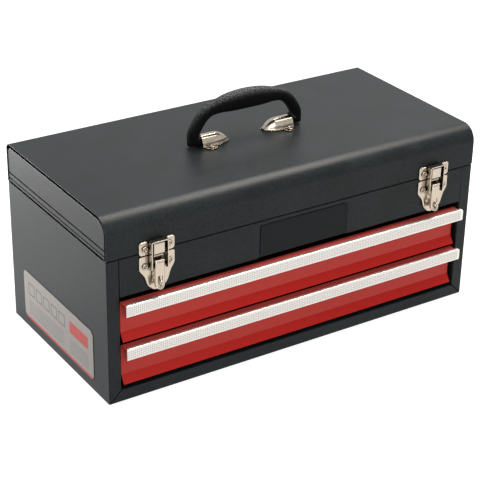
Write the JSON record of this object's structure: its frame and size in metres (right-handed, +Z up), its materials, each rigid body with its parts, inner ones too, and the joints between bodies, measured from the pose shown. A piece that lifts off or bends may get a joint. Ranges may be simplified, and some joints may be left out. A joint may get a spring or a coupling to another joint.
{
  "type": "hand-carry tool box",
  "caption": "Sheet-metal tool box: drawers on slides under a till, a hinged lid with a folding carry handle, and draw latches that hold the lid shut.",
  "frame": {"origin": "middle of the underside of the case, on the surface that the box stands on", "axes": "+X to the right along the front, +Y from the front to the back, +Z up; the drawers open towards -Y"},
  "size_m": [0.5105, 0.2647, 0.2909],
  "materials": {
    "charcoal": "satin charcoal powder coat on steel sheet",
    "red": "semi-gloss red powder coat on steel sheet",
    "aluminium": "bright extruded strip with a finely knurled face",
    "nickel": "bright warm nickel plate on pressed steel",
    "zinc": "zinc-plated steel",
    "grip": "black moulded grip with a fine leather grain",
    "plate": "dark blank plate",
    "paper": "printed film label"
  },
  "bodies": {
    "case": {"case_wrap": "charcoal", "bottom_pan": "charcoal", "till_front": "charcoal", "till_floor": "charcoal", "name_plate": "plate", "side_label": "paper", "channel_lower_left": "zinc", "channel_lower_right": "zinc", "channel_upper_left": "zinc", "channel_upper_right": "zinc", "hinge_leaf_case": "zinc", "hinge_pin": "zinc", "latch_base_left": "nickel", "latch_base_right": "nickel", "base_rivet_left_left": "nickel", "base_rivet_left_right": "nickel", "base_rivet_right_left": "nickel", "base_rivet_right_right": "nickel", "pivot_pin_left": "nickel", "pivot_pin_right": "nickel"},
    "lid": {"lid_wrap": "charcoal", "lid_end_left": "charcoal", "lid_end_right": "charcoal", "hinge_leaf_lid": "zinc", "backing_plate": "zinc", "bracket_left": "nickel", "bracket_right": "nickel", "bracket_rivet_left_front": "nickel", "bracket_rivet_left_back": "nickel", "bracket_rivet_right_front": "nickel", "bracket_rivet_right_back": "nickel", "keeper_left": "nickel", "keeper_right": "nickel", "keeper_rivet_left_left": "nickel", "keeper_rivet_left_right": "nickel", "keeper_rivet_right_left": "nickel", "keeper_rivet_right_right": "nickel"},
    "handle": {"handle_grip": "grip", "handle_core": "zinc"},
    "lower_drawer": {"lower_drawer_front": "red", "lower_drawer_trim": "aluminium", "lower_drawer_tray": "charcoal", "lower_runner_left": "zinc", "lower_runner_right": "zinc"},
    "upper_drawer": {"upper_drawer_front": "red", "upper_drawer_trim": "aluminium", "upper_drawer_tray": "charcoal", "upper_runner_left": "zinc", "upper_runner_right": "zinc"},
    "left_lever": {"lever_left": "nickel", "link_pin_left": "nickel"},
    "right_lever": {"lever_right": "nickel", "link_pin_right": "nickel"},
    "left_link": {"link_left": "nickel"},
    "right_link": {"link_right": "nickel"}
  },
  "joints": [
    {"name": "lid_hinge", "type": "hinge", "parent": "case", "child": "lid", "pos_m": [0, 0.126, 0.18025], "axis": [-1, 0, 0], "range_deg": [0, 100]},
    {"name": "handle_swing", "type": "hinge", "parent": "lid", "child": "handle", "pos_m": [0, 0, 0.238], "axis": [1, 0, 0], "range_deg": [-80, 80]},
    {"name": "lower_drawer_slide", "type": "slide", "parent": "case", "child": "lower_drawer", "axis": [0, -1, 0], "range_m": [0, 0.17]},
    {"name": "upper_drawer_slide", "type": "slide", "parent": "case", "child": "upper_drawer", "axis": [0, -1, 0], "range_m": [0, 0.17]},
    {"name": "left_lever_turn", "type": "hinge", "parent": "case", "child": "left_lever", "pos_m": [-0.193, -0.1276, 0.1695], "axis": [-1, 0, 0], "range_deg": [0, 90]},
    {"name": "right_lever_turn", "type": "hinge", "parent": "case", "child": "right_lever", "pos_m": [0.193, -0.1276, 0.1695], "axis": [-1, 0, 0], "range_deg": [0, 90]},
    {"name": "left_link_turn", "type": "hinge", "parent": "left_lever", "child": "left_link", "pos_m": [-0.193, -0.1267, 0.1625], "axis": [-1, 0, 0], "range_deg": [-90, 0]},
    {"name": "right_link_turn", "type": "hinge", "parent": "right_lever", "child": "right_link", "pos_m": [0.193, -0.1267, 0.1625], "axis": [-1, 0, 0], "range_deg": [-90, 0]}
  ],
  "couplings": [
    {"joint": "left_link_turn", "follows": "left_lever_turn", "ratio": -1},
    {"joint": "right_link_turn", "follows": "right_lever_turn", "ratio": -1}
  ]
}
